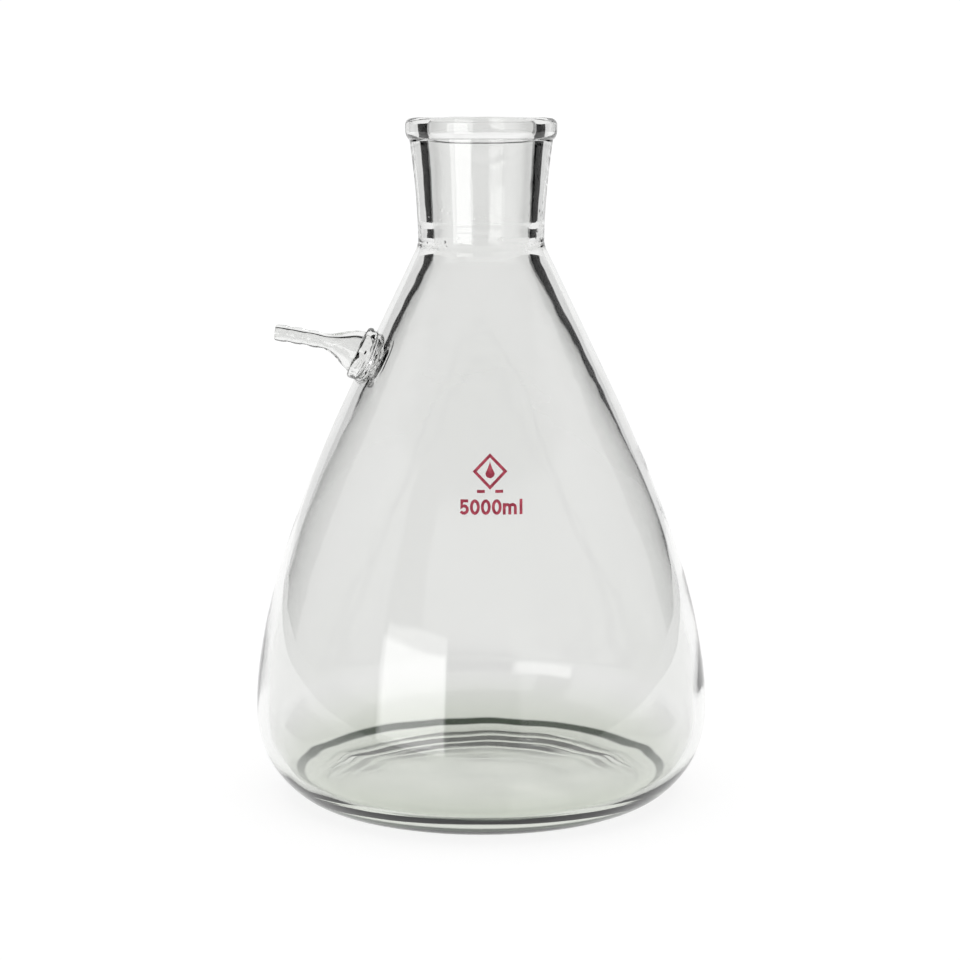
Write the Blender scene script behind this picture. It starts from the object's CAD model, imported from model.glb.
import math

import bmesh
import bpy
from mathutils import Matrix, Vector, noise


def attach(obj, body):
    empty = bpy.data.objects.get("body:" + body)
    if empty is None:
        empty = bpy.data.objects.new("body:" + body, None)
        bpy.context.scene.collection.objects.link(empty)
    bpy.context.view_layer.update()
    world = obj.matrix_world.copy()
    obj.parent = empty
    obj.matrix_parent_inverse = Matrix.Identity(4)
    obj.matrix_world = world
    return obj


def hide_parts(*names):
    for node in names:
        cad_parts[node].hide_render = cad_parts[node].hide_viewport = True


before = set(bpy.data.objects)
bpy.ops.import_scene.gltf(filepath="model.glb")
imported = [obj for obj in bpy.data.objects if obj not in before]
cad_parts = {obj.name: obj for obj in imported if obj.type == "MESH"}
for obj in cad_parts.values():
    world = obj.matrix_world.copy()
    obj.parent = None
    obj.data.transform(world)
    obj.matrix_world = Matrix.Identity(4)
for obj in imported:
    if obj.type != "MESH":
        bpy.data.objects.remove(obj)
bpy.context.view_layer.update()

MM = 0.001

# ---- sizes, as in the CAD model --------------------------------------------------------

HEIGHT = 332 * MM
BODY_RADIUS = 112 * MM
WIDEST = 41 * MM
CONE_ANGLE = math.radians(25.8)
SHOULDER = 199 * MM
NECK_ROOT_RADIUS, NECK_ROOT = 30.6 * MM, 271.5 * MM
NECK_TOP_RADIUS = 34.8 * MM
NECK_WAIST = 1.6 * MM

BELLY_WALL = 5.4 * MM
HOLLOW_SHOULDER = Vector((65.6, 185)) * MM
HOLLOW_ROOT = Vector((23.8, 264)) * MM
HOLLOW_TOP_RADIUS = 26.4 * MM
HOLLOW_WAIST = 1.2 * MM

# how far the curves of the vessel's side reach from their ends: round the heel along the floor
# and down from the widest place, and over the swell (in mm) up from there and down the cone
OUTER_HEEL = (8 * MM, 25 * MM)
INNER_HEEL = (14 * MM, 20 * MM)
SWELL_UP, SWELL_DOWN = 54.5, 40

RING_INNER, RING_OUTER = 79 * MM, 84 * MM
BASE_THICKNESS = 7 * MM
PUSH_UP = 2.5 * MM
FLOOR_RADIUS = 80 * MM

BEAD_HEIGHT = 10.4 * MM
BEAD_RADIUS = 36.9 * MM
BEAD_WIDEST = 5.5 * MM
BEAD_ROUND = 3.4 * MM

ARM_HEIGHT = 217 * MM
PORT_RADIUS = 8 * MM
WELD_RADIUS = 13 * MM
WELD_HEIGHT = 4.5 * MM
SHOULDER_WALL = 7.6 * MM
WELD_LIP = 1.6 * MM
WELD_BULGE = 1.2 * MM
ARM_TIP = Vector((-101, 0, 228.4)) * MM
ARM_TIP_TILT = math.radians(8)
ARM_FOOT_RADIUS = 10.6 * MM
ARM_WAIST_RADIUS = 3.7 * MM
ARM_WAIST_AT = 17 * MM
ARM_BORE = 2.2 * MM
ARM_LIP = 0.6 * MM  # the fire-polished end
TRUMPET_HANDLES = [(9.4 * MM, 6 * MM), (ARM_WAIST_RADIUS + 0.6 * MM, 11 * MM)]
BORE_HANDLES = [(ARM_BORE, 9 * MM), (5.6 * MM, 4 * MM)]
BORE_FOOT = PORT_RADIUS - 0.6 * MM
BARBS = 3
BARB_RISE = 0.45 * MM
# along a barb, as shares of its length: two handles of its rise, its ridge, a handle of its fall
BARB_FOOT, BARB_STEEP, BARB_RIDGE, BARB_FALL = 0.35, 0.25, 0.55, 0.8

PRINT_X = 4 * MM
FIGURE_HEIGHT = 6.7 * MM
FIGURE_WIDTH = 4.5 * MM
FIGURE_PITCH = 5 * MM
LETTER_X_HEIGHT = 5 * MM
LETTER_L_OFFSET = 7.7 * MM
ARCH_RADIUS = 1.95 * MM
STROKE = 1.35 * MM
FIVE_BOWL = 2.25 * MM
FIVE_STEM, FIVE_STEM_LEAN = 0.5 * MM, 0.15 * MM
FIVE_FLAG_END = 0.3 * MM
LINE_LEFT = -14.2 * MM
CAPACITY_BASELINE = 151.5 * MM
DASH_HEIGHT = 161 * MM
DASH_WIDTH, DASH_GAP = 3.6 * MM, 4.8 * MM
MARK_HEIGHT = 170.4 * MM
MARK_RADIUS = 8 * MM
DROP_RADIUS, DROP_FOOT, DROP_LENGTH = 2.15 * MM, -0.8 * MM, 5.2 * MM

# ---- sizes of the fine shapes ------------------------------------------------------------

JOINT_GAP = 0.02 * MM  # left between pieces of glass that are fused on the real flask
ROUND_STEPS = 192
SMALL_ROUND_STEPS = 96
OUTLINE_STEP = 1.2 * MM
ARM_STEP = 0.6 * MM
DRILL_REACH = 30 * MM
SHARP = math.radians(40)
SEAM_HEIGHTS = (267 * MM, 279 * MM)  # rings where the neck was worked onto the body
SEAM_RISE = 0.3 * MM
SEAM_WIDTH = 1.8 * MM
BASE_RING = 61 * MM  # a shallow ring that the mould left in the base
MOULD_RISE = 0.04 * MM
MOULD_WIDTH = 3 * MM
PRINT_GAP = 0.02 * MM
PRINT_THICKNESS = 0.1 * MM

# the ripples of hand-worked glass: how high they are, and how wide
BODY_RIPPLE = (0.08 * MM, 22 * MM)
HOLLOW_RIPPLE = (0.04 * MM, 7 * MM)
RIM_RIPPLE = (0.12 * MM, 9 * MM)
WELD_RIPPLE = (0.8 * MM, 6 * MM)
ARM_RIPPLE = (0.15 * MM, 6 * MM)

# a face is part of a joint when it lies this near to it and faces it this squarely
NEAR_ARM = 20 * MM
SLACK = 0.1 * MM
FINE_SLACK = 0.02 * MM
FACING = 0.9
EDGE_ON = 0.3

# the part of the cone's front that the print is cut from
SKIN_BOTTOM, SKIN_TOP, SKIN_STEP = 148 * MM, 182 * MM, 0.8 * MM
SKIN_START, SKIN_SWEEP, SKIN_TURNS = -106, 32, 96

# ---- colours, patterns and light ---------------------------------------------------------

GLASS_GREY, GLASS_PALE = (0.875, 0.88, 0.87, 1), (0.895, 0.895, 0.89, 1)
GLASS_THICK, THICK_HEIGHTS = (0.75, 0.78, 0.71, 1), (4 * MM, 34 * MM)
HEEL_LINE_COLOUR, HEEL_LINE_SHARE = (0.0, 0.004, 0.0, 1), 0.985
HEEL_LINE = (2.9 * MM, 6.6 * MM, 1.2 * MM)  # its bottom, its top and the width of its edges
PITTED = (268 * MM, 292 * MM, 10 * MM)
WAVE_DEPTH, SHIVER_DEPTH, PIT_DEPTH = 0.08 * MM, 0.003 * MM, 0.25 * MM

ENAMEL_DARK, ENAMEL_LIGHT = (0.30, 0.022, 0.05, 1), (0.46, 0.055, 0.09, 1)
ENAMEL_WORN, WORN_SHARE = (0.62, 0.3, 0.33, 1), 0.6
ENAMEL_RELIEF = 0.01 * MM

# how fine the patterns are, in repeats to the metre
STREAKS, WAVES, SHIVERS, PITS, PIT_GROUPS = 14.0, 45.0, 210.0, 260.0, 90.0
CLOUDS, PINHOLES, GRAIN = 420.0, 1500.0, 1200.0

# the camera, in front of the flask and a little below its rim
CAMERA_DISTANCE = 1.093
CAMERA_HEIGHT = 0.3108
CAMERA_SIDE = -0.0006
CAMERA_PITCH = math.radians(8.1)
CAMERA_LENS = 83.7

WHITE = 1.04  # radiance of the floor and walls, a little past the white of the picture

TABLE_RADIUS, TABLE_BACK, TABLE_DROP = 2.3, 2.0, 0.0002
TABLE_PAINT = (0.2, 0.2, 0.2, 1)
TABLE_GLOW = 0.8  # the share of WHITE that the table gives off itself

# The surroundings that the glass shows. They aren't a real room: their dark gaps are placed so
# that the dark bands in the glass fall where they should. Angles are in degrees, and 0 is
# straight behind the flask.
WALL_GAPS = ((-64, -36), (31, 63), (-147, -125))
GAP_EDGE = 3
CEILING_GAP = (36, 44)
CAMERA_GAP, CAMERA_GAP_EDGE, CAMERA_GAP_TOP = (-150, 160), 4, (8, 14)
SIDE_START, SIDE_END, SIDE_SHADE = (6, 24), (90, 110), 0.2
BACKDROP_EDGE, BACKDROP, UNLIT = (34, 38), 0.8, 0.01

# the soft box stands in front of the flask, to the left
SOFTBOX = 3.4
SOFTBOX_ACROSS, SOFTBOX_UP, SOFTBOX_EDGE = (-162, -127), (-19, 13), 2

# ---- outlines --------------------------------------------------------------------------


def bezier(points, steps):
    """Points along a Bezier curve through its first and last point."""
    found = []
    for i in range(steps + 1):
        t = i / steps
        level = [Vector(p) for p in points]
        while len(level) > 1:
            level = [a.lerp(b, t) for a, b in zip(level, level[1:])]
        found.append(level[0])
    return found


def joined(*runs):
    """Runs of points as one outline, without the doubled points where they meet."""
    outline = []
    for run in runs:
        for point in run:
            if not outline or (outline[-1] - point).length > 1e-7:
                outline.append(point)
    return outline


def evenly(outline, step):
    """The outline again with its points about `step` apart."""
    found = [outline[0]]
    for a, b in zip(outline, outline[1:]):
        count = max(1, round((b - a).length / step))
        found += [a.lerp(b, (i + 1) / count) for i in range(count)]
    return found


def softened(outline, passes):
    """Rounds the corners of an evenly spaced outline. The ends stay where they are."""
    for _ in range(passes):
        middle = [(a + 2 * b + c) / 4 for a, b, c in zip(outline, outline[1:], outline[2:])]
        outline = [outline[0], *middle, outline[-1]]
    return outline


def vessel_side(foot, heel_handles, widest, shoulder, slope, root, top, waist):
    """A side of the vessel from the heel to the neck's top, as (radius, height)."""
    along, down = heel_handles
    belly = Vector((widest, WIDEST))
    heel = [foot, foot + Vector((along, 0)), Vector((widest, WIDEST - down)), belly]
    swell = [
        belly,
        Vector((widest, WIDEST + SWELL_UP * MM)),
        shoulder + Vector((math.sin(slope), -math.cos(slope))) * SWELL_DOWN * MM,
        shoulder,
    ]
    neck = [root, (root + top) / 2 - Vector((waist, 0)), top]
    return joined(bezier(heel, 40), bezier(swell, 90), [shoulder, root], bezier(neck, 30))


def outer_side():
    cone_radius = NECK_ROOT_RADIUS + (NECK_ROOT - SHOULDER) * math.tan(CONE_ANGLE)
    return vessel_side(
        foot=Vector((RING_OUTER, 0)),
        heel_handles=OUTER_HEEL,
        widest=BODY_RADIUS,
        shoulder=Vector((cone_radius, SHOULDER)),
        slope=CONE_ANGLE,
        root=Vector((NECK_ROOT_RADIUS, NECK_ROOT)),
        top=Vector((NECK_TOP_RADIUS, HEIGHT - BEAD_HEIGHT)),
        waist=NECK_WAIST,
    )


def inner_side():
    across = HOLLOW_SHOULDER - HOLLOW_ROOT
    return vessel_side(
        foot=Vector((FLOOR_RADIUS, BASE_THICKNESS)),
        heel_handles=INNER_HEEL,
        widest=BODY_RADIUS - BELLY_WALL,
        shoulder=HOLLOW_SHOULDER,
        slope=math.atan2(across.x, -across.y),
        root=HOLLOW_ROOT,
        top=Vector((HOLLOW_TOP_RADIUS, HEIGHT - BEAD_HEIGHT)),
        waist=HOLLOW_WAIST,
    )


def seam_rise(height):
    """How far the rings of the neck's seam stand into the bore at a height."""
    away = [(height - seam) / SEAM_WIDTH for seam in SEAM_HEIGHTS]
    return sum(SEAM_RISE * math.exp(-(share**2)) for share in away)


def mould_rise(radius):
    """How far the ring that the mould left stands into the underside at a radius."""
    return MOULD_RISE * math.exp(-(((radius - BASE_RING) / MOULD_WIDTH) ** 2))


def vessel_outline():
    """The whole section of the vessel, up the outside from the base and down the hollow."""
    underside = bezier([(0, PUSH_UP), (RING_INNER * 0.8, PUSH_UP), (RING_INNER, 0)], 150)
    underside = [Vector((p.x, p.y + mould_rise(p.x))) for p in underside]
    outer = softened(evenly(outer_side(), OUTLINE_STEP), 4)
    outer = joined(underside, outer)
    inner = joined([Vector((0, BASE_THICKNESS))], inner_side())
    inner = softened(evenly(inner, OUTLINE_STEP), 5)
    inner = [Vector((max(0, p.x - seam_rise(p.y)), p.y)) for p in inner]
    return outer + inner[::-1]


# ---- meshes ----------------------------------------------------------------------------


def turned_mesh(outline, steps=ROUND_STEPS):
    """Turns an outline round Z. Ends on the axis close there, and other outlines make a ring."""
    bm = bmesh.new()
    rings = []
    turns = [2 * math.pi * i / steps for i in range(steps)]
    for radius, height in outline:
        if radius < 1e-6:
            rings.append([bm.verts.new((0, 0, height))])
            continue
        places = [(radius * math.cos(a), radius * math.sin(a), height) for a in turns]
        rings.append([bm.verts.new(place) for place in places])
    pairs = list(zip(rings, rings[1:]))
    if len(rings[0]) > 1:
        pairs.append((rings[-1], rings[0]))
    for lower, upper in pairs:
        for i in range(steps):
            j = (i + 1) % steps
            corners = [lower[i % len(lower)], lower[j % len(lower)]]
            corners += [upper[j % len(upper)], upper[i % len(upper)]]
            bm.faces.new(dict.fromkeys(corners))
    bmesh.ops.recalc_face_normals(bm, faces=bm.faces)
    return bm


def ripple(bm, amount, size, share):
    """Moves the surface in and out a little, as hand-worked glass is never quite even."""
    bm.normal_update()
    moves = [noise.noise(v.co / size) * amount * share(v.co) * v.normal for v in bm.verts]
    for v, move in zip(bm.verts, moves):
        v.co += move


def fade(value, low, high):
    """0 below `low`, 1 above `high`."""
    return min(1.0, max(0.0, (value - low) / (high - low)))


def finished(name, bm, *materials):
    """Makes the object of a piece, smooth except at its sharp corners."""
    mesh = bpy.data.meshes.new(name)
    bm.to_mesh(mesh)
    bm.free()
    mesh.shade_smooth()
    mesh.set_sharp_from_angle(angle=SHARP)
    piece = bpy.data.objects.new(name, mesh)
    bpy.context.scene.collection.objects.link(piece)
    for material in materials:
        mesh.materials.append(material)
    return piece


def apply_boolean(piece, operation, other, **settings):
    """Gives a piece the mesh that is left when another object cuts or trims it."""
    cut = piece.modifiers.new("boolean", "BOOLEAN")
    cut.operation = operation
    cut.solver = "EXACT"
    cut.object = other
    for key, value in settings.items():
        setattr(cut, key, value)
    bpy.context.view_layer.update()
    evaluated = piece.evaluated_get(bpy.context.evaluated_depsgraph_get())
    result = bpy.data.meshes.new_from_object(evaluated)
    piece.modifiers.remove(cut)
    piece.data = result
    result.set_sharp_from_angle(angle=SHARP)


def stands_for(piece, node):
    """Ties a piece to the flask's one body and to the part of the CAD model it is drawn for."""
    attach(piece, "root")
    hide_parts(node)


def mark_joint(piece, is_joint):
    """Gives the faces where the glass is fused to its neighbour the second material."""
    for face in piece.data.polygons:
        face.material_index = 1 if is_joint(face.center, face.normal) else 0


# ---- materials -------------------------------------------------------------------------


class Nodes:
    """Short ways to write a node tree."""

    def __init__(self, tree):
        self.tree = tree

    def add(self, kind, **inputs):
        node = self.tree.nodes.new(kind)
        for name, value in inputs.items():
            self.put(node.inputs[name.replace("_", " ")], value)
        return node

    def put(self, socket, value):
        if isinstance(value, bpy.types.NodeSocket):
            self.tree.links.new(value, socket)
        else:
            socket.default_value = value

    def math(self, operation, *values):
        node = self.tree.nodes.new("ShaderNodeMath")
        node.operation = operation
        for socket, value in zip(node.inputs, values):
            self.put(socket, value)
        return node.outputs[0]

    def rest(self, share):
        """What a share leaves over from 1."""
        return self.math("SUBTRACT", 1.0, share)

    def choice(self, share, first, second):
        """`first` where the share is 1, `second` where it is 0."""
        chosen = self.math("MULTIPLY", share, first)
        return self.math("ADD", chosen, self.math("MULTIPLY", self.rest(share), second))

    def step(self, value, low, high):
        """0 below `low`, 1 above `high`, smooth between."""
        node = self.add("ShaderNodeMapRange", Value=value, From_Min=low, From_Max=high)
        node.interpolation_type = "SMOOTHSTEP"
        return node.outputs["Result"]

    def between(self, value, low, high, edge):
        """1 from `low` to `high`, 0 outside, smooth over `edge` at both ends."""
        over = self.step(value, low - edge / 2, low + edge / 2)
        under = self.rest(self.step(value, high - edge / 2, high + edge / 2))
        return self.math("MULTIPLY", over, under)

    def mix(self, share, first, second):
        """A mix of two colours."""
        node = self.tree.nodes.new("ShaderNodeMix")
        node.data_type = "RGBA"
        sockets = [node.inputs[0], node.inputs[6], node.inputs[7]]
        for socket, value in zip(sockets, [share, first, second]):
            self.put(socket, value)
        return node.outputs[2]

    def noise(self, place, scale, detail=2.0):
        node = self.add("ShaderNodeTexNoise", Vector=place, Scale=scale, Detail=detail)
        return node.outputs["Fac"]


def new_material(name):
    material = bpy.data.materials.new(name)
    material.use_nodes = True
    return material, material.node_tree, material.node_tree.nodes["Principled BSDF"]


def clear_glass():
    """Clear glass: a faint grey cast, olive green where it is thick, and not quite even."""
    material, tree, shader = new_material("clear_glass")
    n = Nodes(tree)
    place = n.add("ShaderNodeTexCoord").outputs["Object"]
    height = n.add("ShaderNodeSeparateXYZ", Vector=place).outputs["Z"]
    shader.inputs["Transmission Weight"].default_value = 1.0
    shader.inputs["Roughness"].default_value = 0.0
    shader.inputs["IOR"].default_value = 1.49

    streaks = n.mix(n.noise(place, STREAKS), GLASS_GREY, GLASS_PALE)
    thick = n.rest(n.step(height, *THICK_HEIGHTS))
    colour = n.mix(thick, streaks, GLASS_THICK)
    # Low on the heel, light has run through the whole width of the base and comes out dark green.
    # The tint of a surface can't know that, so a band of deeper colour stands for it.
    deep = n.math("MULTIPLY", n.between(height, *HEEL_LINE), HEEL_LINE_SHARE)
    n.put(shader.inputs["Base Color"], n.mix(deep, colour, HEEL_LINE_COLOUR))

    # waves of the blown surface, and the pits that the flame left round the neck's root
    waves = n.math("MULTIPLY", n.noise(place, WAVES, 0.0), WAVE_DEPTH)
    shivers = n.math("MULTIPLY", n.noise(place, SHIVERS, 1.0), SHIVER_DEPTH)
    cells = n.add("ShaderNodeTexVoronoi", Vector=place, Scale=PITS).outputs["Distance"]
    pits = n.rest(n.step(cells, 0.05, 0.3))
    sparse = n.step(n.noise(place, PIT_GROUPS), 0.56, 0.66)
    deepness = n.math("MULTIPLY", n.between(height, *PITTED), -PIT_DEPTH)
    pits = n.math("MULTIPLY", n.math("MULTIPLY", pits, sparse), deepness)
    relief = n.math("ADD", n.math("ADD", waves, shivers), pits)
    bump = n.add("ShaderNodeBump", Height=relief, Distance=1.0, Strength=1.0)
    n.put(shader.inputs["Normal"], bump.outputs["Normal"])
    return material


def fused_joint():
    """Where two pieces of glass are melted into one there is nothing to see."""
    material, tree, shader = new_material("fused_joint")
    clear = tree.nodes.new("ShaderNodeBsdfTransparent")
    tree.links.new(clear.outputs[0], tree.nodes["Material Output"].inputs["Surface"])
    tree.nodes.remove(shader)
    return material


def red_enamel():
    """Screen-printed enamel, fired on: crimson, a little uneven, with pinholes and a soft gloss."""
    material, tree, shader = new_material("red_enamel")
    n = Nodes(tree)
    place = n.add("ShaderNodeTexCoord").outputs["Object"]
    cloud = n.noise(place, CLOUDS)
    colour = n.mix(n.step(cloud, 0.35, 0.7), ENAMEL_DARK, ENAMEL_LIGHT)
    cells = n.add("ShaderNodeTexVoronoi", Vector=place, Scale=PINHOLES).outputs["Distance"]
    pinholes = n.rest(n.step(cells, 0.1, 0.22))
    colour = n.mix(n.math("MULTIPLY", pinholes, WORN_SHARE), colour, ENAMEL_WORN)
    n.put(shader.inputs["Base Color"], colour)
    n.put(shader.inputs["Roughness"], n.math("MULTIPLY_ADD", cloud, 0.25, 0.28))
    rough = n.math("SUBTRACT", n.noise(place, GRAIN), pinholes)
    relief = n.math("MULTIPLY", rough, ENAMEL_RELIEF)
    bump = n.add("ShaderNodeBump", Height=relief, Distance=1.0, Strength=1.0)
    n.put(shader.inputs["Normal"], bump.outputs["Normal"])
    return material


GLASS = clear_glass()
JOINT = fused_joint()
ENAMEL = red_enamel()

# ---- where the hose connector stands -----------------------------------------------------

CONE_RADIUS_THERE = NECK_ROOT_RADIUS + (NECK_ROOT - ARM_HEIGHT) * math.tan(CONE_ANGLE)
ARM_ROOT = Vector((-CONE_RADIUS_THERE, 0, ARM_HEIGHT))
CONE_NORMAL = Vector((-math.cos(CONE_ANGLE), 0, math.sin(CONE_ANGLE)))
ON_CONE = Matrix.Translation(ARM_ROOT) @ Matrix.Rotation(-(math.pi / 2 - CONE_ANGLE), 4, "Y")


def off_arm_axis(place):
    """Distance from the line that stands on the cone where the connector does."""
    reach = place - ARM_ROOT
    return (reach - CONE_NORMAL * reach.dot(CONE_NORMAL)).length


# ---- the four pieces of glass ------------------------------------------------------------


def flask_body():
    top = HEIGHT - BEAD_HEIGHT
    bm = turned_mesh(vessel_outline())

    def free_of_joints(place):
        from_arm = (place - ARM_ROOT).length
        return fade(top - place.z, 2 * MM, 10 * MM) * fade(from_arm, NEAR_ARM, 30 * MM)

    def hollow_only(place):
        return free_of_joints(place) * fade(place.z, 150 * MM, 220 * MM)

    ripple(bm, *BODY_RIPPLE, free_of_joints)
    ripple(bm, *HOLLOW_RIPPLE, hollow_only)
    body = finished("blown_vessel", bm, GLASS, JOINT)

    edge = [(WELD_RADIUS, -DRILL_REACH), (WELD_RADIUS, DRILL_REACH)]
    drill = turned_mesh([(0, -DRILL_REACH), *edge, (0, DRILL_REACH)], SMALL_ROUND_STEPS)
    drill.transform(ON_CONE)
    cutter = finished("drill", drill, GLASS)
    apply_boolean(body, "DIFFERENCE", cutter)
    bpy.data.objects.remove(cutter)

    def is_joint(centre, normal):
        on_top = centre.z > top - SLACK / 2 and normal.z > FACING
        near_arm = (centre - ARM_ROOT).length < NEAR_ARM
        in_port = near_arm and off_arm_axis(centre) < WELD_RADIUS + SLACK
        return on_top or (in_port and abs(normal.dot(CONE_NORMAL)) < EDGE_ON)

    mark_joint(body, is_joint)
    stands_for(body, "flask_body")


def rim_bead():
    bottom = HEIGHT - BEAD_HEIGHT + JOINT_GAP
    inside = HOLLOW_TOP_RADIUS

    def corner(radius, start):
        turns = [start + math.pi / 2 * i / 12 for i in range(13)]
        centre = Vector((radius, HEIGHT - BEAD_ROUND))
        return [centre + BEAD_ROUND * Vector((math.cos(a), math.sin(a))) for a in turns]

    widest = Vector((BEAD_RADIUS, bottom + BEAD_WIDEST))
    outline = joined(
        [Vector((inside, bottom)), Vector((NECK_TOP_RADIUS, bottom))],
        bezier([(NECK_TOP_RADIUS, bottom), (BEAD_RADIUS, bottom + BEAD_WIDEST / 4), widest], 12),
        corner(BEAD_RADIUS - BEAD_ROUND, 0),
        corner(inside + BEAD_ROUND, math.pi / 2),
        evenly([Vector((inside, HEIGHT - BEAD_ROUND)), Vector((inside, bottom))], 1 * MM)[:-1],
    )
    bm = turned_mesh(outline)

    def above_joint(place):
        return fade(place.z, bottom + 0.5 * MM, bottom + 3 * MM)

    def is_joint(centre, normal):
        return normal.z < -FACING and centre.xy.length < NECK_TOP_RADIUS

    ripple(bm, *RIM_RIPPLE, above_joint)
    bead = finished("rolled_rim", bm, GLASS, JOINT)
    mark_joint(bead, is_joint)
    stands_for(bead, "rim_bead")


def side_arm_weld():
    radius = WELD_RADIUS - JOINT_GAP
    inside = -SHOULDER_WALL
    bulge = (radius + WELD_BULGE, WELD_HEIGHT)
    crown = bezier([(radius, 0), bulge, (ARM_FOOT_RADIUS, WELD_HEIGHT)], 16)
    middle = (PORT_RADIUS + radius) / 2
    lip = bezier([(PORT_RADIUS, inside), (middle, inside - WELD_LIP), (radius, inside)], 12)
    bore = evenly([Vector((PORT_RADIUS, WELD_HEIGHT)), Vector((PORT_RADIUS, inside))], 1 * MM)
    plug = evenly([Vector((radius, inside)), Vector((radius, 0))], 1 * MM)
    bm = turned_mesh(joined(lip, plug, crown, bore)[:-1], SMALL_ROUND_STEPS)

    def on_crown(place):
        return fade(place.z, 0, 1 * MM) * fade(WELD_HEIGHT - place.z, 0.1 * MM, 1 * MM)

    ripple(bm, *WELD_RIPPLE, on_crown)
    bm.transform(ON_CONE)
    weld = finished("connector_weld", bm, GLASS, JOINT)

    def is_joint(centre, normal):
        height = (centre - ARM_ROOT).dot(CONE_NORMAL)
        on_top = height > WELD_HEIGHT - FINE_SLACK
        in_wall = -SHOULDER_WALL < height < -1.0 * MM
        return on_top or (in_wall and off_arm_axis(centre) > radius - SLACK)

    mark_joint(weld, is_joint)
    stands_for(weld, "side_arm_weld")


def arm_axis():
    """The connector's axis: square to the cone at its foot, bending to a slight tilt at the tip."""
    foot = ARM_ROOT + CONE_NORMAL * (WELD_HEIGHT + JOINT_GAP)
    tip_direction = Vector((-math.cos(ARM_TIP_TILT), 0, math.sin(ARM_TIP_TILT)))
    reach = ARM_TIP - foot

    def cross(a, b):
        return a.x * b.z - a.z * b.x

    bend = cross(reach, tip_direction) / cross(CONE_NORMAL, tip_direction)
    return bezier([foot, foot + CONE_NORMAL * bend, ARM_TIP], 200)


def laid_along(line, bm):
    """Lays a solid turned round Z along a line of points, its height becoming distance."""
    lengths = [0.0]
    for a, b in zip(line, line[1:]):
        lengths.append(lengths[-1] + (b - a).length)
    across = Vector((0, 1, 0))
    for v in bm.verts:
        i = next((k for k in range(len(lengths) - 1) if lengths[k + 1] >= v.co.z), len(lengths) - 2)
        share = (v.co.z - lengths[i]) / (lengths[i + 1] - lengths[i])
        along = (line[i + 1] - line[i]).normalized()
        place = line[i].lerp(line[i + 1], share)
        v.co = place + across.cross(along) * v.co.x + across * v.co.y


def arm_outside(length):
    """The connector's outside from foot to tip, as (radius, distance along it)."""
    pitch = (length - ARM_WAIST_AT) / BARBS
    waist, ridge = ARM_WAIST_RADIUS, ARM_WAIST_RADIUS + BARB_RISE
    runs = [bezier([(ARM_FOOT_RADIUS, 0), *TRUMPET_HANDLES, (waist, ARM_WAIST_AT)], 40)]
    for barb in range(BARBS):
        start = ARM_WAIST_AT + barb * pitch
        foot, steep = (waist, start + pitch * BARB_FOOT), (ridge, start + pitch * BARB_STEEP)
        top, fall = (ridge, start + pitch * BARB_RIDGE), (ridge, start + pitch * BARB_FALL)
        runs.append(bezier([(waist, start), foot, steep, top], 12))
        runs.append(bezier([top, fall, (waist, start + pitch)], 12))
    tip = [(waist, length - ARM_LIP), (waist, length), (waist - ARM_LIP, length)]
    return joined(joined(*runs)[:-2], bezier(tip, 6))


def arm_inside(length):
    """The connector's bore from tip to foot, as (radius, distance along it)."""
    tip = [(ARM_BORE + ARM_LIP, length), (ARM_BORE, length), (ARM_BORE, length - ARM_LIP)]
    narrow = Vector((ARM_BORE, ARM_WAIST_AT))
    return joined(bezier(tip, 6), [narrow], bezier([narrow, *BORE_HANDLES, (BORE_FOOT, 0)], 30))


def side_arm():
    line = arm_axis()
    length = sum((b - a).length for a, b in zip(line, line[1:]))
    section = evenly(arm_outside(length), ARM_STEP) + evenly(arm_inside(length), ARM_STEP)
    bm = turned_mesh(section, SMALL_ROUND_STEPS)

    def between_ends(place):
        return fade(place.z, 0.5 * MM, 4 * MM) * fade(length - place.z, 0.5 * MM, 3 * MM)

    ripple(bm, *ARM_RIPPLE, between_ends)
    laid_along(line, bm)
    bmesh.ops.recalc_face_normals(bm, faces=bm.faces)
    arm = finished("hose_connector", bm, GLASS, JOINT)

    def is_joint(centre, normal):
        height = (centre - line[0]).dot(CONE_NORMAL)
        return height < FINE_SLACK and normal.dot(CONE_NORMAL) < -FACING

    mark_joint(arm, is_joint)
    stands_for(arm, "side_arm")


# ---- the enamel print ----------------------------------------------------------------------


def enamel_skin():
    """The thin shell over the front of the cone from which the print is cut."""
    side = [p for p in evenly(outer_side(), SKIN_STEP) if SKIN_BOTTOM < p.y < SKIN_TOP]
    bm = bmesh.new()
    degrees = [SKIN_START + SKIN_SWEEP * i / SKIN_TURNS for i in range(SKIN_TURNS + 1)]
    turns = [math.radians(angle) for angle in degrees]
    shells = []
    for growth in (PRINT_GAP, PRINT_GAP + PRINT_THICKNESS):
        shells.append([])
        for a, b in zip(side, side[1:]):
            along = (b - a).normalized()
            place = a + Vector((along.y, -along.x)) * growth
            ring = [(place.x * math.cos(t), place.x * math.sin(t), place.y) for t in turns]
            shells[-1].append([bm.verts.new(point) for point in ring])
    inner, outer = shells
    for rings in shells:
        for lower, upper in zip(rings, rings[1:]):
            for i in range(SKIN_TURNS):
                bm.faces.new([lower[i], lower[i + 1], upper[i + 1], upper[i]])
    for end in (0, -1):
        for i in range(SKIN_TURNS):
            bm.faces.new([inner[end][i], inner[end][i + 1], outer[end][i + 1], outer[end][i]])
        for low, high in zip(range(len(inner) - 1), range(1, len(inner))):
            bm.faces.new([inner[low][end], inner[high][end], outer[high][end], outer[low][end]])
    bmesh.ops.recalc_face_normals(bm, faces=bm.faces)
    return finished("enamel_skin", bm)


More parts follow.
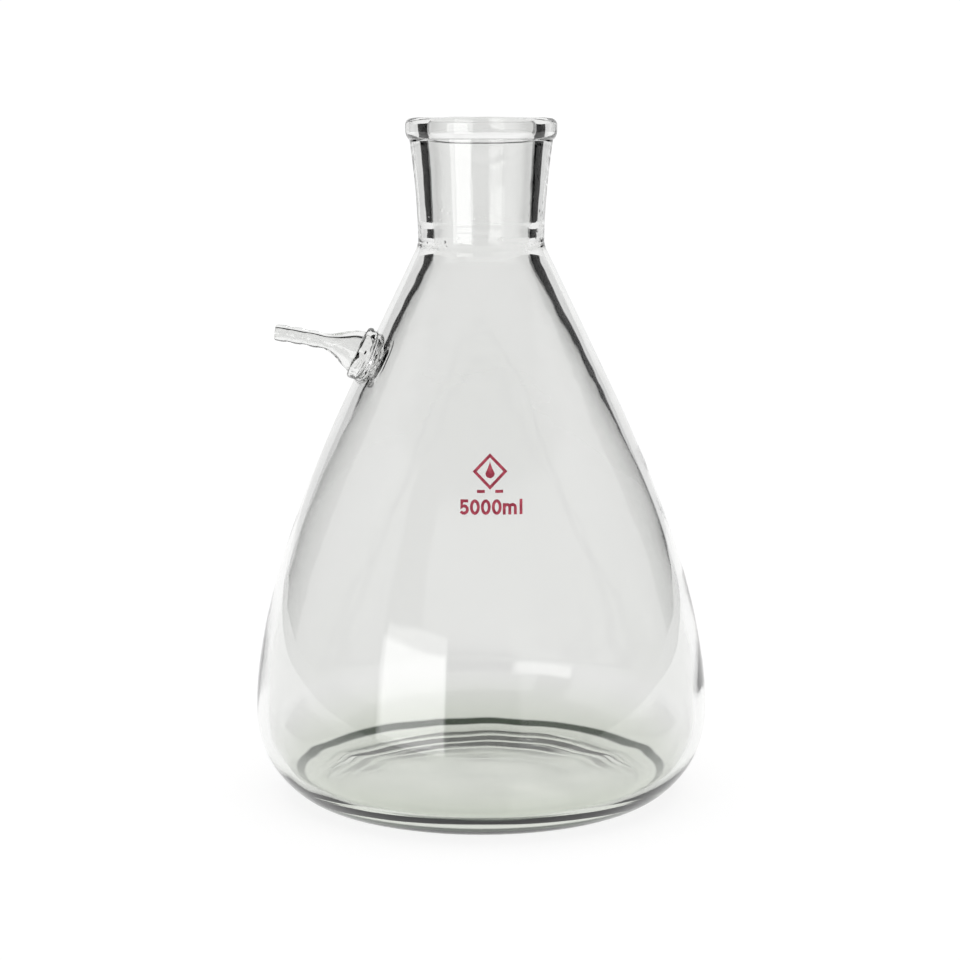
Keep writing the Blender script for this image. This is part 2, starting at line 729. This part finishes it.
def arc(x, z, radius_x, radius_z, start, end, steps=40):
    """Points along part of an ellipse, its angles in degrees."""
    turns = [math.radians(start + (end - start) * i / steps) for i in range(steps + 1)]
    return [Vector((x + radius_x * math.cos(a), z + radius_z * math.sin(a))) for a in turns]


def stroke_outline(line):
    """The outline of a pen stroke along an open line."""
    left, right = [], []
    for i, place in enumerate(line):
        before = (place - line[i - 1]).normalized() if i else None
        after = (line[i + 1] - place).normalized() if i + 1 < len(line) else None
        along = ((before or after) + (after or before)).normalized()
        mitre = 1 / max(0.5, along.dot(after or before))
        side = Vector((-along.y, along.x)) * STROKE / 2 * mitre
        left.append(place + side)
        right.append(place - side)
    return left + right[::-1]


def figure_five():
    half = STROKE / 2
    top = FIGURE_HEIGHT - half
    stem = FIVE_STEM + half
    flag = [Vector((FIGURE_WIDTH - FIVE_FLAG_END, top)), Vector((stem + FIVE_STEM_LEAN, top))]
    bowl = arc(FIGURE_WIDTH / 2, FIVE_BOWL, FIGURE_WIDTH / 2 - half, FIVE_BOWL - half, 130, -150)
    return [flag + bowl]


def figure_zero():
    half = STROKE / 2
    middle = FIGURE_HEIGHT / 2
    return [arc(FIGURE_WIDTH / 2, middle, FIGURE_WIDTH / 2 - half, middle - half, 0, 360, 64)]


def figure_m():
    half = STROKE / 2
    radius = ARCH_RADIUS - half
    spring = LETTER_X_HEIGHT - ARCH_RADIUS
    strokes = [[Vector((half, 0)), Vector((half, spring + radius + half))]]
    for left in (half, half + 2 * radius):
        bow = arc(left + radius, spring, radius, radius, 170, 0, 24)
        strokes.append(bow + [Vector((left + 2 * radius, 0))])
    return strokes


def figure_l():
    return [[Vector((STROKE / 2, 0)), Vector((STROKE / 2, FIGURE_HEIGHT))]]


def figure_dash():
    return [[Vector((0, STROKE / 2)), Vector((DASH_WIDTH, STROKE / 2))]]


def figure_lozenge():
    radius = MARK_RADIUS - STROKE / 2 * math.sqrt(2)
    turns = (0, 0.5 * math.pi, math.pi, 1.5 * math.pi)
    corners = [Vector((radius * math.cos(a), radius * math.sin(a))) for a in turns]
    return [corners + corners[:1]]


def figure_drop():
    tip = (0, DROP_FOOT + DROP_LENGTH)
    waist, waist_height = DROP_RADIUS / 3, DROP_FOOT + DROP_LENGTH / 2
    left = bezier([tip, (-waist, waist_height), (-DROP_RADIUS, DROP_FOOT)], 10)
    right = bezier([(DROP_RADIUS, DROP_FOOT), (waist, waist_height), tip], 10)
    return [joined(left, arc(0, DROP_FOOT, DROP_RADIUS, DROP_RADIUS, 180, 360), right)[:-1]]


def prism(bm, outlines, depth=0.2):
    """A flat figure between closed outlines, pushed forwards (-Y) from the axis."""
    loops = [[bm.verts.new((p.x, 0, p.y)) for p in outline] for outline in outlines]
    edges = [bm.edges.new(pair) for loop in loops for pair in zip(loop, loop[1:] + loop[:1])]
    face = bmesh.ops.triangle_fill(bm, edges=edges, use_beauty=True, use_dissolve=False)
    faces = [f for f in face["geom"] if isinstance(f, bmesh.types.BMFace)]
    pushed = bmesh.ops.extrude_face_region(bm, geom=faces)["geom"]
    front = [v for v in pushed if isinstance(v, bmesh.types.BMVert)]
    bmesh.ops.translate(bm, vec=(0, -depth, 0), verts=front)


def closed_stroke(line):
    """The two outlines of a pen stroke along a closed line."""
    points = line[:-1]
    sides = ([], [])
    for i, place in enumerate(points):
        before = (place - points[i - 1]).normalized()
        after = (points[(i + 1) % len(points)] - place).normalized()
        along = (before + after).normalized()
        side = Vector((-along.y, along.x)) * STROKE / 2 / max(0.5, along.dot(after))
        sides[0].append(place + side)
        sides[1].append(place - side)
    return sides


def enamel_figure(name, node, lines, left, bottom, skin, filled=False):
    """Cuts a figure of the print from the skin, from pen strokes or from a filled outline."""
    bm = bmesh.new()
    for line in lines:
        if filled:
            prism(bm, [line])
        elif (line[0] - line[-1]).length < 1e-6:
            prism(bm, closed_stroke(line))
        else:
            prism(bm, [stroke_outline(line)])
    bmesh.ops.translate(bm, vec=(PRINT_X + left, 0, bottom), verts=bm.verts)
    bmesh.ops.recalc_face_normals(bm, faces=bm.faces)
    figure = finished(name, bm, ENAMEL)
    apply_boolean(figure, "INTERSECT", skin, use_self=True)
    figure.data.materials.clear()
    figure.data.materials.append(ENAMEL)
    stands_for(figure, node)


def enamel_print():
    skin = enamel_skin()
    enamel_figure("print_lozenge", "mark_lozenge", figure_lozenge(), 0, MARK_HEIGHT, skin)
    enamel_figure("print_drop", "mark_drop", figure_drop(), 0, MARK_HEIGHT, skin, filled=True)
    dashes = (("left", -DASH_GAP / 2 - DASH_WIDTH), ("right", DASH_GAP / 2))
    for side, left in dashes:
        names = (f"print_dash_{side}", f"mark_dash_{side}")
        enamel_figure(*names, figure_dash(), left, DASH_HEIGHT, skin)

    letters = LINE_LEFT + 4 * FIGURE_PITCH
    capacity = [("five", figure_five(), LINE_LEFT)]
    for place, which in enumerate(("first", "second", "third")):
        capacity.append((f"zero_{which}", figure_zero(), LINE_LEFT + (place + 1) * FIGURE_PITCH))
    capacity.append(("m", figure_m(), letters))
    capacity.append(("l", figure_l(), letters + LETTER_L_OFFSET))
    for name, lines, left in capacity:
        enamel_figure(f"print_{name}", f"capacity_{name}", lines, left, CAPACITY_BASELINE, skin)
    bpy.data.objects.remove(skin)


# ---- the surroundings --------------------------------------------------------------------


def pale_floor():
    """A round table. Its edge is near in front of the flask and far behind it.

    It is white mostly by its own glow, so the flask throws hardly any shadow on it.
    """
    bm = bmesh.new()
    bmesh.ops.create_circle(bm, cap_ends=True, segments=128, radius=TABLE_RADIUS)
    material, _, shader = new_material("pale_floor")
    shader.inputs["Base Color"].default_value = TABLE_PAINT
    shader.inputs["Emission Color"].default_value = (1, 1, 1, 1)
    shader.inputs["Emission Strength"].default_value = WHITE * TABLE_GLOW
    material.cycles.emission_sampling = "NONE"
    shader.inputs["Roughness"].default_value = 1.0
    shader.inputs["Specular IOR Level"].default_value = 0.0
    floor = finished("floor", bm, material)
    floor.location = (0, TABLE_BACK, -TABLE_DROP)


def studio():
    """White all round for the camera and the floor, and something else for the glass.

    A ray that has just passed through glass sees white walls with dark gaps between them. One
    that has just been mirrored by it sees a backdrop and near darkness. Both see the soft box.
    """
    world = bpy.data.worlds.new("studio")
    bpy.context.scene.world = world
    world.use_nodes = True
    tree = world.node_tree
    n = Nodes(tree)
    direction = n.add("ShaderNodeTexCoord").outputs["Generated"]
    x, y, z = n.add("ShaderNodeSeparateXYZ", Vector=direction).outputs
    degrees = 180 / math.pi
    azimuth = n.math("MULTIPLY", n.math("ARCTAN2", x, y), degrees)
    elevation = n.math("MULTIPLY", n.math("ARCSINE", z), degrees)

    gaps = n.step(elevation, *CEILING_GAP)
    for left, right in WALL_GAPS:
        gaps = n.math("MAXIMUM", gaps, n.between(azimuth, left, right, GAP_EDGE))
    near = n.rest(n.between(azimuth, *CAMERA_GAP, CAMERA_GAP_EDGE))
    near = n.math("MULTIPLY", near, n.rest(n.step(elevation, *CAMERA_GAP_TOP)))
    aside = n.math("ABSOLUTE", azimuth)
    shaded = n.math("MULTIPLY", n.step(aside, *SIDE_START), n.rest(n.step(aside, *SIDE_END)))
    falloff = n.math("SUBTRACT", WHITE, n.math("MULTIPLY", shaded, WHITE * SIDE_SHADE))
    walls = n.math("MULTIPLY", falloff, n.rest(n.math("MAXIMUM", gaps, near)))
    mirrored = n.math("MULTIPLY_ADD", n.rest(n.step(aside, *BACKDROP_EDGE)), BACKDROP, UNLIT)

    box_across = n.between(azimuth, *SOFTBOX_ACROSS, SOFTBOX_EDGE)
    box_up = n.between(elevation, *SOFTBOX_UP, SOFTBOX_EDGE)
    box = n.math("MULTIPLY", n.math("MULTIPLY", box_across, box_up), SOFTBOX)

    path = n.add("ShaderNodeLightPath").outputs
    straight = n.math("LESS_THAN", path["Diffuse Depth"], 0.5)
    on_glass = n.math("MULTIPLY", path["Is Glossy Ray"], straight)
    shown = n.math("MAXIMUM", n.choice(path["Is Transmission Ray"], walls, mirrored), box)
    background = tree.nodes["Background"]
    n.put(background.inputs["Strength"], n.choice(on_glass, shown, WHITE))
    background.inputs["Color"].default_value = (1, 1, 1, 1)


def camera():
    data = bpy.data.cameras.new("camera")
    data.lens = CAMERA_LENS
    data.sensor_width = 36
    placed = bpy.data.objects.new("camera", data)
    placed.location = (CAMERA_SIDE, -CAMERA_DISTANCE, CAMERA_HEIGHT)
    placed.rotation_euler = (math.pi / 2 - CAMERA_PITCH, 0, 0)
    bpy.context.scene.collection.objects.link(placed)
    bpy.context.scene.camera = placed


def light_paths():
    """Enough bounces for light to cross both walls of the flask, and plain tones."""
    scene = bpy.context.scene
    scene.view_settings.view_transform = "Standard"
    scene.cycles.max_bounces = 26
    scene.cycles.transmission_bounces = 24
    scene.cycles.glossy_bounces = 12
    scene.cycles.transparent_max_bounces = 24


# ---- the scene ---------------------------------------------------------------------------

camera()
light_paths()
studio()
pale_floor()
flask_body()
rim_bead()
side_arm_weld()
side_arm()
enamel_print()
